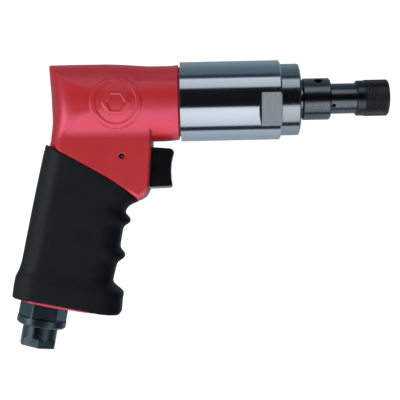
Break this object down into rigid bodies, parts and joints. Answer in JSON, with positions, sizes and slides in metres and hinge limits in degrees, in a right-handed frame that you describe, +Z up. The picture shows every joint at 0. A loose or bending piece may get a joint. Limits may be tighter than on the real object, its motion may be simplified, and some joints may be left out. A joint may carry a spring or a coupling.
{
  "type": "pneumatic pistol-grip screwdriver",
  "caption": "Pistol-grip pneumatic screwdriver: red cast motor housing, rubber grip, steel clutch housing, quick-change hexagon chuck.",
  "frame": {"origin": "on the spindle axis, in the joint face between the motor housing and the clutch housing", "axes": "+X forward along the spindle towards the bit, +Z up, away from the handle, +Y to the tool's left"},
  "size_m": [0.2134, 0.045, 0.1597],
  "materials": {
    "red_paint": "gloss enamel over cast aluminium",
    "grip_rubber": "matte moulded rubber",
    "seal_rubber": "smooth nitrile rubber",
    "blued_steel": "black oxide, lightly oiled",
    "polished_steel": "fine ground and polished",
    "machined_steel": "machined",
    "bronze": "machined bronze",
    "vane_composite": "filled resin"
  },
  "bodies": {
    "tool": {"bushing_o_ring": "seal_rubber", "carrier_bearing_outer_race": "machined_steel", "clutch_housing": "polished_steel", "deflector_screw": "blued_steel", "exhaust_bracket": "machined_steel", "exhaust_deflector": "vane_composite", "exhaust_muffler": "grip_rubber", "front_bearing_outer_race": "machined_steel", "front_cap": "polished_steel", "front_end_plate": "machined_steel", "grip_sleeve": "grip_rubber", "inlet_bushing": "blued_steel", "inlet_o_ring": "seal_rubber", "inlet_strainer": "bronze", "motor_cylinder": "machined_steel", "motor_housing": "red_paint", "rear_bearing_outer_race": "machined_steel", "rear_end_plate": "machined_steel", "ring_gear": "machined_steel", "spindle_bush": "bronze", "spindle_seal": "seal_rubber", "spindle_thrust_washer": "machined_steel", "throttle_bushing": "bronze", "throttle_spring": "machined_steel", "throttle_spring_pin": "blued_steel", "timing_dowel": "machined_steel", "valve_seat_washer": "seal_rubber"},
    "rotor": {"rotor": "machined_steel", "rotor_vanes": "vane_composite", "rear_bearing_inner_race": "machined_steel", "front_bearing_inner_race": "machined_steel"},
    "rear_balls": {"rear_bearing_balls": "machined_steel"},
    "front_balls": {"front_bearing_balls": "machined_steel"},
    "carrier_balls": {"carrier_bearing_balls": "machined_steel"},
    "drive": {"planet_carrier": "machined_steel", "planet_pins": "machined_steel", "planet_bushes": "bronze", "carrier_bearing_inner_race": "machined_steel", "clutch_adjusting_nut": "machined_steel", "clutch_spring": "machined_steel", "clutch_spring_washer": "machined_steel", "clutch_drive_jaw": "machined_steel", "jaw_retaining_ring": "machined_steel"},
    "planet_1": {"planet_gear_1": "machined_steel"},
    "planet_2": {"planet_gear_2": "machined_steel"},
    "planet_3": {"planet_gear_3": "machined_steel"},
    "spindle": {"output_spindle": "polished_steel", "chuck_body": "blued_steel", "chuck_retaining_ring": "blued_steel", "spindle_return_spring": "machined_steel", "sleeve_spring": "machined_steel"},
    "sleeve": {"chuck_sleeve": "blued_steel"},
    "ball": {"lock_ball": "machined_steel"},
    "trigger": {"trigger_button": "blued_steel", "trigger_stem": "machined_steel", "stem_o_ring": "seal_rubber", "throttle_valve": "machined_steel"}
  },
  "joints": [
    {"name": "rotor_spin", "type": "hinge", "parent": "tool", "child": "rotor", "pos_m": [-0.04, 0, 0], "axis": [1, 0, 0], "continuous": true},
    {"name": "drive_spin", "type": "hinge", "parent": "tool", "child": "drive", "pos_m": [0, 0, 0], "axis": [1, 0, 0], "continuous": true},
    {"name": "rear_balls_orbit", "type": "hinge", "parent": "tool", "child": "rear_balls", "pos_m": [-0.06, 0, 0], "axis": [1, 0, 0], "continuous": true},
    {"name": "front_balls_orbit", "type": "hinge", "parent": "tool", "child": "front_balls", "pos_m": [-0.02, 0, 0], "axis": [1, 0, 0], "continuous": true},
    {"name": "carrier_balls_orbit", "type": "hinge", "parent": "tool", "child": "carrier_balls", "pos_m": [0.0049, 0, 0], "axis": [1, 0, 0], "continuous": true},
    {"name": "planet_1_spin", "type": "hinge", "parent": "drive", "child": "planet_1", "pos_m": [-0.01, 0, 0.00975], "axis": [1, 0, 0], "continuous": true},
    {"name": "planet_2_spin", "type": "hinge", "parent": "drive", "child": "planet_2", "pos_m": [-0.01, -0.00844, -0.00487], "axis": [1, 0, 0], "continuous": true},
    {"name": "planet_3_spin", "type": "hinge", "parent": "drive", "child": "planet_3", "pos_m": [-0.01, 0.00844, -0.00487], "axis": [1, 0, 0], "continuous": true},
    {"name": "spindle_push", "type": "slide", "parent": "drive", "child": "spindle", "axis": [-1, 0, 0], "range_m": [0, 0.003], "stiffness_N_per_m": 400, "deforming": ["spindle_return_spring"]},
    {"name": "sleeve_slide", "type": "slide", "parent": "spindle", "child": "sleeve", "axis": [-1, 0, 0], "range_m": [0, 0.004], "stiffness_N_per_m": 900, "deforming": ["sleeve_spring"]},
    {"name": "lock_ball_lift", "type": "slide", "parent": "spindle", "child": "ball", "axis": [0, 0, 1], "range_m": [0, 0.0006]},
    {"name": "trigger_pull", "type": "slide", "parent": "tool", "child": "trigger", "axis": [-1, 0, 0], "range_m": [0, 0.0055], "stiffness_N_per_m": 900, "deforming": ["throttle_spring"]}
  ],
  "couplings": [
    {"joint": "drive_spin", "follows": "rotor_spin", "ratio": 0.2},
    {"joint": "planet_1_spin", "follows": "rotor_spin", "ratio": -0.53333},
    {"joint": "planet_2_spin", "follows": "rotor_spin", "ratio": -0.53333},
    {"joint": "planet_3_spin", "follows": "rotor_spin", "ratio": -0.53333},
    {"joint": "rear_balls_orbit", "follows": "rotor_spin", "ratio": 0.37569},
    {"joint": "front_balls_orbit", "follows": "rotor_spin", "ratio": 0.41621},
    {"joint": "carrier_balls_orbit", "follows": "rotor_spin", "ratio": 0.080497},
    {"joint": "lock_ball_lift", "follows": "sleeve_slide", "ratio": 0.148}
  ]
}
